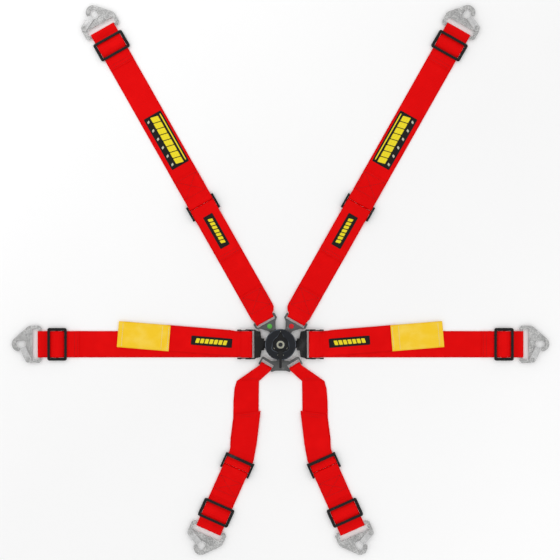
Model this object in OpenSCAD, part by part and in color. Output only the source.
// Six-point racing harness laid out flat, front side up.
// The round buckle stands on its back plate at the origin. +Y runs from the buckle to the
// shoulder belts' end and +Z out of the buckle's front. Millimetres.
// Left pieces are drawn, and right pieces are their mirror images.

/* [Webbing] */
// Width of all belts
web_w = 50; // [38:1:56]
// Thickness of one layer of webbing
web_t = 1.3; // [0.9:0.1:1.6]
// Width of the webbing where it is gathered into a shoulder tongue
shoulder_end_w = 37; // [30:1:37]
// Width of the webbing where it is folded into the crotch tongue
leg_end_w = 23; // [18:1:27]

/* [Belt lengths] */
// Distance from the buckle's axis to the shoulder belt's length adjuster
shoulder_adjuster_at = 300; // [240:1:400]
// Distance from the buckle's axis to the shoulder belt's hook bar
shoulder_hook_at = 684; // [560:1:900]
// Distance from the buckle's axis to the lap belt's hook bar
lap_hook_at = 457; // [420:1:620]
// Distance from the leg belt's adjuster to its hook bar
leg_hook_at = 130; // [120:1:220]
// Length of the shoulder belt's loose tail
shoulder_tail = 108; // [100:1:130]
// Length of the lap belt's loose tail
lap_tail = 147; // [125:1:170]
// Length of the yellow pull tab on the lap tail
pull_tab = 91; // [70:1:92]

/* [Belt angles] */
// Direction of the left shoulder belt, anticlockwise from +X
shoulder_angle = 119.5; // [116:0.5:124]
// Angle by which the lap tail is fanned out from its belt
lap_tail_fan = 4.7; // [0:0.1:6]
// Direction of the left leg belt below its adjuster
leg_angle = 246; // [243:0.5:250]

/* [Buckle] */
// Diameter of the turn knob
knob_d = 59; // [56:0.5:62]
// Diameter of the buckle housing
housing_d = 57; // [54:0.5:59]
// Height of the buckle housing above the back plate
housing_h = 11.5; // [11:0.5:16]
// Thickness of the back plate
back_t = 3; // [2:0.1:3.6]
// Radius of the pivot bolt
pivot_r = 4; // [3:0.1:5]

/* [Hardware] */
// Thickness of the hook plates
hook_t = 3; // [2.2:0.1:3.6]
// Thickness of the tongues
tongue_t = 3; // [2.2:0.1:3.4]
// Radius of the hook's eye
eye_r = 6.2; // [5.2:0.1:6.4]
// Width of the steel frames' side arms
arm_w = 3.6; // [2.6:0.1:5]
// Length of a three-bar slide along the belt
slide_l = 37; // [34:1:44]
// Diameter of the bars that the webbing loops around
bar_d = 4.6; // [4:0.1:5]

/* [Hidden] */
$fn = 48;
fit = 0.05;              // running clearance of pins
gap = 0.3;               // clearance between pieces that move or lie side by side
loop_gap = 0.3;          // clearance between a bar and the loop of webbing on it
loop_in = bar_d / 2 + loop_gap;
loop_out = loop_in + web_t;
bar_z = loop_out + 0.1;  // height of the bars of hooks and adjusters
twice_t = 2 * web_t;
tongue_z = back_t + 1;   // underside of the tongues
tongue_mid = tongue_z + tongue_t / 2;
prong_w = 14;
prong_in = 17;           // radius where the tongues' prongs end
prong_out = 31;
slide_w = web_w + 12;
slide_bar = 5;
slide_t = 2.6;
slide_z = twice_t + gap;
tail_z = web_t + 0.1;    // underside of a loose tail
tail_top = tail_z + web_t;
label_t = 0.9;           // thickness of sewn-on labels
label_l = 71;
patch_at = 444;
patch_l = 110;
patch_w = 37;
slide_from_hook = 33;
sewn_end = 75;           // hook's bar to the hemmed end of the doubled webbing
leg_tail = 106;
grip_pin_r = 1.5;
knob_z = back_t + housing_h + gap;
knob_h = 7.5;
knob_floor = knob_z + knob_h - 2;
cap_r = 9.5;
disc_z = back_t + 4.3;
disc_t = 2;

shoulder_bar_at = 56;    // buckle axis to the shoulder tongue's bar
shoulder_side = 3.5;     // the shoulder tongue's loop sits off the belt's middle line
lap_bar_at = 57.4;       // buckle axis to the lap tongue's bar
lap_arm_end = 82;
lap_fan_from = 92;       // where the lap tail starts to fan out
ear_at = [-28, -42];     // middle of the crotch tongue's left bar
ear_angle = 239;
leg_adjuster_at = [-82.7, -231];
adjuster_end_bar = 10.5; // adjuster's middle to the bar with the sewn loop
adjuster_front_bar = -13.5;
adjuster_w = web_w + 9;
hook_eye = [38.8, -0.5]; // all hook places are measured from the hook's bar
hook_eye_2 = [31.2, -2.2];
hook_r = 14;
gate_pin = [21, 29];
gate_t = 1.5;
spring_t = 0.6;
gate_z = bar_z + hook_t / 2 + spring_t + 0.1;
pin_r = 2.5;

red = [0.78, 0.02, 0.03];
black = [0.05, 0.05, 0.05];
steel = [0.62, 0.62, 0.62];
dark_steel = [0.22, 0.23, 0.23];
light_steel = [0.75, 0.75, 0.75];
yellow = [0.95, 0.78, 0.1];

// ---- helpers ----

// The right piece of a pair
module right() {
    mirror([1, 0, 0]) children();
}

// Local frame of a belt: +X runs outwards along it, +Y across it
module belt(at, angle) {
    translate([at[0], at[1], 0]) rotate([0, 0, angle]) children();
}

// A side view in (along, height), extruded across the belt
module across(width, shift = 0) {
    translate([0, shift, 0]) rotate([90, 0, 0]) linear_extrude(width, center = true) children();
}

function towards(a, b) = (b - a) / norm(b - a);
function left_of(d) = [-d[1], d[0]];
function mitre(p, i) =
    let (last = len(p) - 1,
         before = i == 0 ? towards(p[0], p[1]) : towards(p[i - 1], p[i]),
         after = i == last ? towards(p[last - 1], p[last]) : towards(p[i], p[i + 1]),
         m = left_of(before) + left_of(after))
    m / (norm(m) * norm(m) / 2);
// Edges of a layer of webbing of thickness t whose middle follows the points p, and its outline
function above(p, t) = [for (i = [0:len(p) - 1]) p[i] + mitre(p, i) * t / 2];
function below(p, t) = [for (i = [0:len(p) - 1]) p[i] - mitre(p, i) * t / 2];
function reversed(p) = [for (i = [len(p) - 1:-1:0]) p[i]];
function arc(c, r, from, to, steps) =
    [for (i = [0:steps]) let (a = from + (to - from) * i / steps) c + r * [cos(a), sin(a)]];
// Outline of a rectangle with round corners
function round_rect(x0, x1, y0, y1, r) = concat(
    arc([x1 - r, y1 - r], r, 0, 90, 6), arc([x0 + r, y1 - r], r, 90, 180, 6),
    arc([x0 + r, y0 + r], r, 180, 270, 6), arc([x1 - r, y0 + r], r, 270, 360, 6));

// Outside of a loop of webbing around a bar at c, open towards +X, and open towards -X
function loop_from(c) = arc(c, loop_out, 55, 270, 16);
function loop_to(c) = arc(c, loop_out, -90, 125, 16);
// The round inside of a loop around a bar at [along, height]
module loop_hole(at, height, width) {
    translate([at, 0, height]) rotate([90, 0, 0])
        cylinder(h = width + 2, r = loop_in, center = true);
}

// The bar itself: flat steel with its edges rounded, along local Y
module bar(length, thickness, height) {
    translate([0, 0, height]) across(length) intersection() {
        square([bar_d, thickness], center = true);
        circle(bar_d / 2);
    }
}

// ---- webbing hardware ----

// Path of doubled webbing under, over and under the bars of a slide centred at s
function through_slide(s) = [
    [s - slide_l / 2 - 4, web_t], [s - slide_l / 2 + slide_bar + 1, web_t],
    [s - slide_bar / 2 - 1.2, slide_z + slide_t + gap + web_t],
    [s + slide_bar / 2 + 1.2, slide_z + slide_t + gap + web_t],
    [s + slide_l / 2 - slide_bar - 1, web_t], [s + slide_l / 2 + 4, web_t]];

module slide_frame() {
    half = slide_l / 2;
    slot_w = web_w + 2 * gap + 0.6;
    slot_l = (slide_l - 3 * slide_bar) / 2;
    difference() {
        translate([0, 0, slide_z])
            linear_extrude(slide_t) polygon(round_rect(-half, half, -slide_w / 2, slide_w / 2, 4));
        for (way = [-1, 1])
            translate([way * (slide_bar + slot_l) / 2, 0, slide_z + slide_t / 2])
                cube([slot_l, slot_w, 2 * slide_t], center = true);
    }
}

// Tilt-lock length adjuster: two arms, an end bar with a sewn loop, and a front bar that lies
// inside the webbing or, raised, on top of it
module adjuster_frame(front_on_top) {
    arm_in = web_w / 2 + 0.6;
    arm_h = bar_d + 1;
    front = adjuster_front_bar;
    front_z = front_on_top ? 5.2 : web_t + gap;
    difference() {
        union() {
            for (way = [-1, 1])
                translate([0, way * (arm_in + arm_w / 2), bar_z])
                    across(arm_w) polygon(concat(
                        front_on_top
                            ? [[front + 3, arm_h / 2], [front + 2.5, 3.9], [front - 2.5, 3.9],
                               [front - 3, 3.4]]
                            : arc([front - 1, 0.6], 2, 90, 180, 4),
                        [[front - 3, -1.6], [front - 1, 0.2 - arm_h / 2]],
                        arc([adjuster_end_bar + 1, 2 - arm_h / 2], 2, 270, 360, 4),
                        arc([adjuster_end_bar + 1, arm_h / 2 - 2], 2, 0, 90, 4)));
            translate([adjuster_end_bar, 0, 0]) bar(2 * arm_in + 0.2, bar_d - 1, bar_z);
            translate([front, 0, front_z + 1.2])
                across(2 * arm_in + 0.2) polygon(round_rect(-3, 3, -1.2, 1.2, 1));
        }
        translate([0, 0, bar_z]) rotate([90, 0, 0])
            cylinder(h = 2 * arm_in + 3 * arm_w, r = grip_pin_r, center = true);
    }
}

// The adjuster's round grip bar, whose ends sit in the arms
module adjuster_grip() {
    arm_in = web_w / 2 + 0.6;
    translate([0, 0, bar_z]) rotate([90, 0, 0]) {
        cylinder(h = 2 * arm_in, r = bar_d / 2, center = true);
        cylinder(h = 2 * arm_in + 2 * arm_w, r = grip_pin_r, center = true);
    }
}

// Path of the adjustable webbing round a grip bar at `at`: in along the floor, round the bar,
// and back on top to `to`
function round_grip(at, to, front_on_top) =
    let (r = loop_in + web_t / 2, top = tail_z + web_t / 2)
    concat([[at - 5, web_t / 2]],
           arc([at, bar_z], r, -82, 95, 12),
           front_on_top
               ? [[at - 6.5, bar_z + 1], [at + adjuster_front_bar + 4, 3.8],
                  [at + adjuster_front_bar - 4, 3.6], [at + adjuster_front_bar - 14, top],
                  [to, top]]
               : [[at - 8, bar_z + loop_in + 0.5], [at + adjuster_front_bar - 4, bar_z + 1.7],
                  [at + adjuster_front_bar - 18, top], [to, top]]);

// ---- end hooks ----

// A flat snap hook, gate side up: the slot for its bar, the eye, the nose and the rivet's boss
module hook_plate() {
    t = hook_t;
    slot_to = 13.7;
    slot_half = web_w / 2 + 3.9;
    side = slot_half + 6.5;
    tip = hook_eye + (eye_r + hook_r) / 2 * [cos(75), sin(75)];
    low = bar_z - hook_t / 2;
    translate([0, 0, low]) {
        difference() {
            union() {
                linear_extrude(t) polygon([
                    [-4.3, 5.4 - side], [0.6, -side], [17, -side], [21.3, 1.1 - side],
                    hook_eye + hook_r * [cos(-48), sin(-48)], hook_eye, [27, 3], [22.5, 23],
                    gate_pin + [5, 2], [17, side], [0.6, side], [-4.3, side - 5.4]]);
                translate(hook_eye) cylinder(h = t, r = hook_r);
                translate(gate_pin) cylinder(h = t, r = 6);
            }
            translate([hook_eye[0], hook_eye[1], -1]) cylinder(h = t + 2, r = eye_r);
            translate([hook_eye_2[0], hook_eye_2[1], -1]) cylinder(h = t + 2, r = 5);
            // the neck between the eye's two ends, and the mouth
            translate([0, 0, -1]) linear_extrude(t + 2) {
                polygon([[hook_eye[0], hook_eye[1] - eye_r], [hook_eye_2[0], hook_eye_2[1] - 5],
                         [hook_eye_2[0], 3], [hook_eye[0], hook_eye[1] + eye_r]]);
                polygon([hook_eye, hook_eye + 22 * [cos(75), sin(75)], [31, 26], [26.8, 18],
                         [hook_eye_2[0] - 5, hook_eye_2[1]], hook_eye_2]);
            }
            translate([-20, -slot_half, -1]) cube([20 + slot_to, 2 * slot_half, t + 2]);
            translate([gate_pin[0], gate_pin[1], -1]) cylinder(h = t + 2, r = pin_r);
        }
        translate(tip) cylinder(h = t, r = (hook_r - eye_r) / 2);
    }
    bar(2 * slot_half + 1, t, bar_z);
}

// The gate's rivet, and under the gate its flat spring, which lies on the plate
module hook_rivet() {
    low = bar_z - hook_t / 2;
    top = gate_z + gate_t + fit;
    translate([gate_pin[0], gate_pin[1], 0]) {
        translate([0, 0, low]) cylinder(h = top - low, r = pin_r);
        translate([0, 0, top]) cylinder(h = 0.9, r = 4);
    }
}

module hook_spring() {
    translate([gate_pin[0], gate_pin[1], bar_z + hook_t / 2]) difference() {
        union() {
            cylinder(h = spring_t, r = 4.6);
            translate([-0.4, -16, 0]) cube([0.9, 14, spring_t]);
        }
        translate([0, 0, -1]) cylinder(h = 3, r = pin_r);
    }
}

module gate() {
    reach = [32, 6.1] - gate_pin;
    side = left_of(reach / norm(reach)) * 6;
    translate([0, 0, gate_z])
        difference() {
            union() {
                linear_extrude(gate_t) polygon([gate_pin - side, gate_pin + reach - side,
                    gate_pin + reach + side, gate_pin + side]);
                translate(gate_pin) cylinder(h = gate_t, r = 6);
            }
            translate([gate_pin[0], gate_pin[1], -1]) cylinder(h = gate_t + 2, r = pin_r + fit);
        }
}

// ---- buckle ----

tongue_angles = [shoulder_angle, 180 - shoulder_angle, 180, 0, 270];
screw_angles = [30, 150, 225, 315];
screw_at = 24.3;
screw_r = 1.5;
cavity_r = 16;

module buckle_back_plate() {
    color(black) difference() {
        cylinder(h = back_t, r = housing_d / 2, $fn = 96);
        for (a = screw_angles)
            rotate([0, 0, a]) translate([screw_at, 0, -1]) {
                cylinder(h = back_t + 2, r = screw_r);
                cylinder(h = 2.2, r = 2.8);
            }
        translate([0, 0, -1]) cylinder(h = back_t + 2, r = pivot_r);
    }
}

module buckle_housing() {
    chamfer = 1.5;
    color(black) difference() {
        translate([0, 0, back_t]) rotate_extrude($fn = 96) polygon([
            [cavity_r, 0], [housing_d / 2, 0], [housing_d / 2, housing_h - chamfer],
            [housing_d / 2 - chamfer, housing_h], [pivot_r + 1.1, housing_h],
            [pivot_r + 1.1, housing_h - 1.5], [cavity_r, housing_h - 1.5]]);
        for (a = tongue_angles)
            rotate([0, 0, a]) translate([cavity_r - 1, -prong_w / 2 - gap, tongue_z - gap])
                cube([housing_d, prong_w + 2 * gap, tongue_t + 2 * gap]);
        for (a = screw_angles)
            rotate([0, 0, a]) translate([screw_at, 0, back_t - 1]) cylinder(h = 9, r = screw_r);
    }
}

module housing_screws() {
    color(steel) for (a = screw_angles)
        rotate([0, 0, a]) translate([screw_at, 0, 0]) {
            difference() {
                translate([0, 0, 0.1]) cylinder(h = 1.1, r = 2.7);
                cylinder(h = 0.9, r = 1.2, $fn = 6);
            }
            translate([0, 0, 1.2]) cylinder(h = 9, r = screw_r);
        }
}

module pivot_bolt() {
    color(steel) {
        cylinder(h = knob_z + 3, r = pivot_r);
        translate([0, 0, back_t]) cylinder(h = 3, r = pivot_r + 2.5);
    }
}

// Flat spiral spring that turns the latch disc and the knob back
module return_spring() {
    turns = 2.5;
    steps = 20;
    inner = 7;
    outer = 14.5;
    strip = 0.8;
    function spiral(i, shift) =
        let (a = 360 * i / steps, r = inner + (outer - inner) * i / (steps * turns) + shift)
        r * [cos(a), sin(a)];
    count = steps * turns;
    color(steel) translate([0, 0, disc_z + disc_t + gap]) {
        linear_extrude(2.6) polygon(concat(
            [for (i = [0:count]) spiral(i, 0)], [for (i = [count:-1:0]) spiral(i, strip)]));
        // its outer end is let into the housing's wall
        rotate([0, 0, 180]) translate([outer, -0.6, 0.3]) cube([cavity_r + 0.8 - outer, 1.2, 2]);
    }
}

// Notched disc under the knob: it holds the prongs until it is turned either way
module latch_disc() {
    disc_r = cavity_r - gap;
    color(dark_steel) translate([0, 0, disc_z]) difference() {
        cylinder(h = disc_t, r = disc_r, $fn = 96);
        translate([0, 0, -1]) cylinder(h = 4, r = pivot_r + fit);
        for (a = tongue_angles)
            rotate([0, 0, a + 20]) translate([disc_r, 0, -1]) cylinder(h = 4, r = 2);
    }
}

module turn_knob() {
    rim = knob_d / 2;
    dish = 15.5;
    color(black) difference() {
        union() {
            translate([0, 0, knob_z]) rotate_extrude($fn = 128) polygon(concat(
                [[1, 0], [rim - 1, 0], [rim, 1]],
                arc([rim - 3, knob_h - 4.5], 3, 0, 60, 6),
                [[dish + 2, knob_h], [dish, knob_h - 2], [1, knob_h - 2]]));
            // three webs that run from the hub up to the rim's ring, for the fingers
            for (a = [90, 210, 330])
                rotate([0, 0, a]) translate([0, 0, knob_z + knob_h - 2]) linear_extrude(1.6)
                    polygon([[8, -9], [dish, -6], [dish + 5, 0], [dish, 6], [8, 9]]);
            // sleeve that reaches down to the latch disc
            translate([0, 0, disc_z + disc_t]) cylinder(h = knob_z + 1 - disc_z - disc_t,
                                                        r = pivot_r + 0.8);
        }
        translate([0, 0, 0]) cylinder(h = 50, r = pivot_r + fit);
        translate([0, 0, knob_floor]) cylinder(h = 4, r = cap_r + fit);
    }
}

module turn_lever() {
    top = knob_z + knob_h;
    color(black) difference() {
        translate([0, 0, top]) linear_extrude(2.6) polygon(concat(
            [[-4.5, -11], [4.5, -11]], [[2.2, -26]], arc([0, -42], 2.4, 0, -180, 10),
            [[-2.2, -26]]));
        translate([0, 0, top - 1]) cylinder(h = 6, r = cap_r + gap);
    }
}

module knob_cap() {
    color(black) translate([0, 0, knob_floor]) rotate_extrude($fn = 96) polygon([
        [0, 0], [cap_r, 0], [cap_r, 2.2], [cap_r - 0.9, 3], [7.2, 3], [6.8, 2.6], [5.6, 2.6],
        [5.2, 3.2], [0, 3.6]]);
}

// Bottom tongue: a prong, and two slanted ears that carry the leg belts
module crotch_tongue_plate() {
    half = leg_end_w / 2 + 0.6;
    edge = half + 3;
    out = [cos(ear_angle), sin(ear_angle)];
    function ear(x, y) = ear_at + x * out + y * left_of(out);
    left = [
        [-prong_w / 2, -prong_in], [-prong_w / 2, -prong_out], ear(-14, 4), ear(-14, 2 - edge),
        ear(-12, -edge), ear(1.4, -edge), ear(3, 1.5 - edge), ear(3, edge), [-10, -50]];
    difference() {
        linear_extrude(tongue_t)
            polygon(concat(left, reversed([for (p = left) [-p[0], p[1]]])));
        belt(ear_at, ear_angle)
            translate([-loop_out - 5.5, -half, -1]) cube([25, 2 * half, tongue_t + 2]);
        right() belt(ear_at, ear_angle)
            translate([-loop_out - 5.5, -half, -1]) cube([25, 2 * half, tongue_t + 2]);
        translate([0, -prong_in - 6, -1]) cylinder(h = tongue_t + 2, r = 2.6);
    }
}

module crotch_tongue_bar() {
    belt(ear_at, ear_angle) bar(leg_end_w + 1.4, tongue_t - 0.2, tongue_mid);
}

// ---- shoulder belt ----

module shoulder_tongue() {
    half = shoulder_end_w / 2 + 0.8;
    mid = shoulder_side;
    back = shoulder_bar_at - loop_out - 4;
    belt([0, 0], shoulder_angle) {
        translate([0, 0, tongue_z]) difference() {
            linear_extrude(tongue_t) polygon(concat(
                [[prong_in, -prong_w / 2], [prong_out, -prong_w / 2], [prong_out + 3, -8.5],
                 [back - 5, mid - half - arm_w + 6], [back, mid - half - arm_w]],
                arc([shoulder_bar_at, mid - half - arm_w + 3], 3, 270, 360, 5),
                arc([shoulder_bar_at, mid + half + arm_w - 3], 3, 0, 90, 5),
                [[back + 1, mid + half + arm_w], [back - 2, mid + half + arm_w - 3],
                 [back - 4, mid + half + arm_w - 8], [prong_out + 3, 8.5], [prong_out, prong_w / 2], [prong_in, prong_w / 2]]));
            translate([back, mid - half, -1]) cube([40, 2 * half, tongue_t + 2]);
            translate([prong_in + 6, 0, -1]) cylinder(h = tongue_t + 2, r = 2.6);
            translate([40, 1, -1]) cylinder(h = tongue_t + 2, r = 3.4);
        }
        translate([shoulder_bar_at, mid, 0]) bar(2 * half + 0.2, tongue_t, tongue_mid);
    }
}

// Round coloured marker, pressed into its tongue
module shoulder_marker() {
    belt([0, 0], shoulder_angle) translate([40, 1, tongue_z]) {
        cylinder(h = tongue_t, r = 3.4);
        translate([0, 0, tongue_t]) cylinder(h = 0.8, r = 4.7);
    }
}

// From the loop on the tongue's bar along the floor, round the grip bar, and back as a tail
module shoulder_strap_lower() {
    reach = shoulder_adjuster_at - shoulder_bar_at;
    sewn = 60;
    ribbon = concat([[sewn, web_t / 2]],
                    round_grip(reach, reach - shoulder_tail, false));
    side_w = shoulder_end_w / 2;
    belt([0, 0], shoulder_angle) translate([shoulder_bar_at, 0, 0]) difference() {
        across(web_w) polygon(concat(
            loop_from([0, tongue_mid]), [[12, 0]], below(ribbon, web_t),
            reversed(above(ribbon, web_t)), [[sewn, twice_t], [12, twice_t]]));
        loop_hole(0, tongue_mid, web_w);
        // gathered in at the tongue
        for (way = [-1, 1])
            translate([0, 0, -1]) linear_extrude(14) polygon(way > 0
                ? [[-6, shoulder_side + side_w], [3, shoulder_side + side_w],
                   [12, web_w / 2 + 0.01], [12, web_w], [-6, web_w]]
                : [[-6, shoulder_side - side_w], [-6, -web_w], [18, -web_w],
                   [18, -web_w / 2 - 0.01], [12, -web_w / 2 + 0.8], [7, -web_w / 2 + 4.5],
                   [3, shoulder_side - side_w]]);
    }
}

// Its outer end climbs with the tail towards the adjuster
module shoulder_label() {
    bend = shoulder_adjuster_at + adjuster_front_bar - 18;
    from = bend - 55.5;
    to = from + label_l - 3;
    low = tail_top + 0.06;
    slope = (bar_z + 1.7 - tail_z - web_t / 2) / 14;
    rise = (to - bend) * slope;
    belt([0, 0], shoulder_angle)
        across(20) polygon([[from, low], [bend, low], [to, low + rise],
            [to, low + rise + label_t], [bend, low + label_t], [from, low + label_t]]);
}

// From the loop on the adjuster's end bar to the loop on the hook's bar
module shoulder_strap_upper() {
    from = shoulder_adjuster_at + adjuster_end_bar;
    reach = shoulder_hook_at - from;
    fold = through_slide(reach - slide_from_hook);
    belt([0, 0], shoulder_angle) translate([from, 0, 0]) difference() {
        across(web_w) polygon(concat(
            loop_from([0, bar_z]), [[10, 0]], below(fold, twice_t), loop_to([reach, bar_z]),
            reversed(above(fold, twice_t)),
            [[reach - sewn_end, twice_t], [reach - sewn_end, web_t], [58, web_t],
             [58, twice_t], [10, twice_t]]));
        loop_hole(0, bar_z, web_w);
        loop_hole(reach, bar_z, web_w);
    }
}

module shoulder_patch() {
    belt([0, 0], shoulder_angle)
        translate([patch_at - patch_l / 2, -patch_w / 2 - 2, web_t])
            cube([patch_l, patch_w, label_t]);
}

module shoulder_slide() {
    belt([0, 0], shoulder_angle)
        translate([shoulder_hook_at - slide_from_hook, 0, 0]) slide_frame();
}

// ---- lap belt ----

module lap_tongue() {
    arm_in = web_w / 2 + 0.5;
    plate_half = arm_in + 2.6;
    back = lap_bar_at - 7.4;
    half_outline = [
        [prong_in, prong_w / 2], [prong_out, prong_w / 2], [prong_out, 11], [36, 11.5],
        [38, plate_half - 4], [back - 4, plate_half - 2], [back - 1, plate_half],
        [lap_arm_end - 26, plate_half], [lap_arm_end - 25, arm_in + 2.9],
        [lap_arm_end - 16, arm_in + 2.9], [lap_arm_end - 15, arm_in + 1.6],
        [lap_arm_end - 8, arm_in + 1.6], [lap_arm_end - 7, arm_in + 2.6],
        [lap_arm_end, arm_in + 2.6]];
    belt([0, 0], 180) {
        translate([0, 0, tongue_z]) difference() {
            linear_extrude(tongue_t) polygon(concat(
                half_outline, reversed([for (p = half_outline) [p[0], -p[1]]])));
            translate([back, -arm_in, -1]) cube([60, 2 * arm_in, tongue_t + 2]);
            translate([prong_in + 6, 0, -1]) cylinder(h = tongue_t + 2, r = 2.6);
        }
        translate([lap_bar_at, 0, 0]) bar(2 * arm_in + 0.2, tongue_t, tongue_mid);
    }
}

// One length of webbing: from the hook, through the slide and round the tongue's bar, then
// back on top as a loose tail that fans out to the pull tab
module lap_strap() {
    reach = lap_hook_at - lap_bar_at;
    fold = through_slide(reach - slide_from_hook);
    ribbon = concat(
        [[40, tail_z + web_t / 2], [29, tail_z + web_t / 2], [15, 4.8]],
        arc([0, tongue_mid], loop_in + web_t / 2, 85, 275, 14),
        [[14, web_t / 2], [60, web_t / 2]]);
    belt([0, 0], 180) translate([lap_bar_at, 0, 0]) difference() {
        across(web_w) polygon(concat(
            below(ribbon, web_t), below(fold, twice_t), loop_to([reach, bar_z]),
            reversed(above(fold, twice_t)),
            [[reach - sewn_end, twice_t], [reach - sewn_end, web_t]],
            reversed(above(ribbon, web_t))));
        loop_hole(reach, bar_z, web_w);
    }
    on_lap_tail()
        translate([19, -web_w / 2, tail_z + 0.05]) cube([lap_tail - 19, web_w, web_t]);
}

module on_lap_tail() {
    belt([0, 0], 180) translate([lap_fan_from - 20, 0, 0])
        rotate([0, 0, -lap_tail_fan]) children();
}

module lap_label() {
    on_lap_tail() translate([20, -8.7, tail_top + 0.05]) cube([78, 17.4, label_t]);
}

// Folded webbing, sewn over the end of the tail
module lap_pull_tab() {
    tab_t = 1.2;
    on_lap_tail() translate([lap_tail, -web_w / 2, tail_z + 0.05]) {
        cube([pull_tab, web_w, 2 * tab_t]);
        translate([-8, 0, web_t]) cube([9, web_w, tab_t]);
    }
}

module lap_slide() {
    belt([0, 0], 180) translate([lap_hook_at - slide_from_hook, 0, 0]) slide_frame();
}

// ---- leg belt ----

// Sewn on to the crotch tongue's ear, it spreads to its full width, bends down the thigh, and
// wraps the adjuster's grip bar; its tail lies on top
module leg_strap_upper() {
    half = leg_end_w / 2;
    out = [cos(ear_angle), sin(ear_angle)];
    side = left_of(out);
    adj_out = [cos(leg_angle), sin(leg_angle)];
    adj_side = left_of(adj_out) * web_w / 2;
    end = leg_adjuster_at + 20 * adj_out;
    ribbon = round_grip(0, -leg_tail, true);
    intersection() {
        union() {
            // the folded end on the ear, doubled
            belt(ear_at, ear_angle) difference() {
                across(4 * web_w) polygon(concat(
                    loop_from([0, tongue_mid]), [[12, 0.3], [34, 0.3], [34, twice_t],
                    [12, twice_t + 0.4]]));
                loop_hole(0, tongue_mid, 4 * web_w);
            }
            belt(leg_adjuster_at, leg_angle) across(4 * web_w)
                polygon(concat(below(ribbon, web_t), [[-leg_tail, web_t + 0.1]],
                    reversed(above(ribbon, web_t)), [[-182, web_t]], [[-182, 0]]));
        }
        // plan
        linear_extrude(20) polygon([
            ear_at - 6 * out + half * side, ear_at - 6 * out - half * side,
            ear_at + 4 * out - half * side, [-83.5, -70], [-87.5, -84], [-89.5, -108],
            [-90, -140], leg_adjuster_at - 24 * adj_out - adj_side,
            end - adj_side, end + adj_side, leg_adjuster_at - 16 * adj_out + adj_side,
            [-46.5, -190], [-41, -150], [-41.5, -128], [-40.7, -70],
            ear_at + 4 * out + half * side]);
    }
}

module leg_adjuster_frame() {
    belt(leg_adjuster_at, leg_angle) adjuster_frame(true);
}

module leg_strap_lower() {
    reach = leg_hook_at - adjuster_end_bar;
    fold = through_slide(reach - slide_from_hook);
    belt(leg_adjuster_at, leg_angle) translate([adjuster_end_bar, 0, 0]) difference() {
        across(web_w) polygon(concat(
            loop_from([0, bar_z]), [[10, 0]], below(fold, twice_t), loop_to([reach, bar_z]),
            reversed(above(fold, twice_t)), [[10, twice_t]]));
        loop_hole(0, bar_z, web_w);
        loop_hole(reach, bar_z, web_w);
    }
}

module leg_slide() {
    belt(leg_adjuster_at, leg_angle)
        translate([leg_hook_at - slide_from_hook, 0, 0]) slide_frame();
}

// ---- the ends' places ----

module at_shoulder_end() { belt([0, 0], shoulder_angle) translate([shoulder_hook_at, 0, 0]) children(); }
module at_lap_end() { belt([0, 0], 180) translate([lap_hook_at, 0, 0]) children(); }
module at_leg_end() { belt(leg_adjuster_at, leg_angle) translate([leg_hook_at, 0, 0]) children(); }
module at_shoulder_adjuster() { belt([0, 0], shoulder_angle) translate([shoulder_adjuster_at, 0, 0]) children(); }
module at_leg_adjuster() { belt(leg_adjuster_at, leg_angle) children(); }

// ---- one module for each piece ----

module crotch_tongue() {
    color(dark_steel) {
        translate([0, 0, tongue_z]) crotch_tongue_plate();
        crotch_tongue_bar();
        right() crotch_tongue_bar();
    }
}
module shoulder_tongue_left() { color(dark_steel) shoulder_tongue(); }
module shoulder_tongue_right() { color(dark_steel) right() shoulder_tongue(); }
module shoulder_marker_left() { color([0.15, 0.6, 0.1]) shoulder_marker(); }
module shoulder_marker_right() { color([0.7, 0.02, 0.05]) right() shoulder_marker(); }
module shoulder_strap_lower_left() { color(red) shoulder_strap_lower(); }
module shoulder_strap_lower_right() { color(red) right() shoulder_strap_lower(); }
module shoulder_label_left() { color(black) shoulder_label(); }
module shoulder_label_right() { color(black) right() shoulder_label(); }
module shoulder_adjuster_left() {
    color(dark_steel) at_shoulder_adjuster() adjuster_frame(false);
    color(steel) at_shoulder_adjuster() adjuster_grip();
}
module shoulder_adjuster_right() {
    color(dark_steel) right() at_shoulder_adjuster() adjuster_frame(false);
    color(steel) right() at_shoulder_adjuster() adjuster_grip();
}
module shoulder_strap_upper_left() { color(red) shoulder_strap_upper(); }
module shoulder_strap_upper_right() { color(red) right() shoulder_strap_upper(); }
module shoulder_patch_left() { color(black) shoulder_patch(); }
module shoulder_patch_right() { color(black) right() shoulder_patch(); }
module shoulder_slide_left() { color(black) shoulder_slide(); }
module shoulder_slide_right() { color(black) right() shoulder_slide(); }
module shoulder_hook_left() {
    color(steel) at_shoulder_end() hook_plate();
    color(dark_steel) at_shoulder_end() { hook_rivet(); hook_spring(); }
}
module shoulder_hook_right() {
    color(steel) right() at_shoulder_end() hook_plate();
    color(dark_steel) right() at_shoulder_end() { hook_rivet(); hook_spring(); }
}
module shoulder_gate_left() { color(light_steel) at_shoulder_end() gate(); }
module shoulder_gate_right() { color(light_steel) right() at_shoulder_end() gate(); }
module lap_tongue_left() { color(black) lap_tongue(); }
module lap_tongue_right() { color(black) right() lap_tongue(); }
module lap_strap_left() { color(red) lap_strap(); }
module lap_strap_right() { color(red) right() lap_strap(); }
module lap_label_left() { color(black) lap_label(); }
module lap_label_right() { color(black) right() lap_label(); }
module lap_pull_tab_left() { color(yellow) lap_pull_tab(); }
module lap_pull_tab_right() { color(yellow) right() lap_pull_tab(); }
module lap_slide_left() { color(black) lap_slide(); }
module lap_slide_right() { color(black) right() lap_slide(); }
module lap_hook_left() {
    color(steel) at_lap_end() hook_plate();
    color(dark_steel) at_lap_end() { hook_rivet(); hook_spring(); }
}
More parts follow.
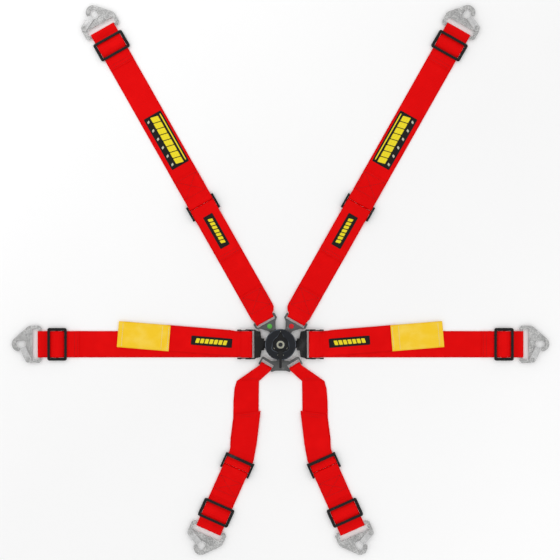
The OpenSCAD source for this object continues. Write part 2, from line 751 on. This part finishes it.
module lap_hook_right() {
    color(steel) right() at_lap_end() hook_plate();
    color(dark_steel) right() at_lap_end() { hook_rivet(); hook_spring(); }
}
module lap_gate_left() { color(light_steel) at_lap_end() gate(); }
module lap_gate_right() { color(light_steel) right() at_lap_end() gate(); }
module leg_strap_upper_left() { color(red) leg_strap_upper(); }
module leg_strap_upper_right() { color(red) right() leg_strap_upper(); }
module leg_adjuster_left() {
    color(dark_steel) at_leg_adjuster() adjuster_frame(true);
    color(steel) at_leg_adjuster() adjuster_grip();
}
module leg_adjuster_right() {
    color(dark_steel) right() at_leg_adjuster() adjuster_frame(true);
    color(steel) right() at_leg_adjuster() adjuster_grip();
}
module leg_strap_lower_left() { color(red) leg_strap_lower(); }
module leg_strap_lower_right() { color(red) right() leg_strap_lower(); }
module leg_slide_left() { color(black) leg_slide(); }
module leg_slide_right() { color(black) right() leg_slide(); }
module leg_hook_left() {
    color(steel) at_leg_end() mirror([0, 1, 0]) hook_plate();
    color(dark_steel) at_leg_end() mirror([0, 1, 0]) { hook_rivet(); hook_spring(); }
}
module leg_hook_right() {
    color(steel) right() at_leg_end() mirror([0, 1, 0]) hook_plate();
    color(dark_steel) right() at_leg_end() mirror([0, 1, 0]) { hook_rivet(); hook_spring(); }
}
module leg_gate_left() { color(light_steel) at_leg_end() mirror([0, 1, 0]) gate(); }
module leg_gate_right() { color(light_steel) right() at_leg_end() mirror([0, 1, 0]) gate(); }

// ---- nodes ----

buckle_back_plate();
buckle_housing();
housing_screws();
pivot_bolt();
return_spring();
latch_disc();
turn_knob();
turn_lever();
knob_cap();
crotch_tongue();
shoulder_tongue_left();
shoulder_tongue_right();
shoulder_marker_left();
shoulder_marker_right();
shoulder_strap_lower_left();
shoulder_strap_lower_right();
shoulder_label_left();
shoulder_label_right();
shoulder_adjuster_left();
shoulder_adjuster_right();
shoulder_strap_upper_left();
shoulder_strap_upper_right();
shoulder_patch_left();
shoulder_patch_right();
shoulder_slide_left();
shoulder_slide_right();
shoulder_hook_left();
shoulder_hook_right();
shoulder_gate_left();
shoulder_gate_right();
lap_tongue_left();
lap_tongue_right();
lap_strap_left();
lap_strap_right();
lap_label_left();
lap_label_right();
lap_pull_tab_left();
lap_pull_tab_right();
lap_slide_left();
lap_slide_right();
lap_hook_left();
lap_hook_right();
lap_gate_left();
lap_gate_right();
leg_strap_upper_left();
leg_strap_upper_right();
leg_adjuster_left();
leg_adjuster_right();
leg_strap_lower_left();
leg_strap_lower_right();
leg_slide_left();
leg_slide_right();
leg_hook_left();
leg_hook_right();
leg_gate_left();
leg_gate_right();
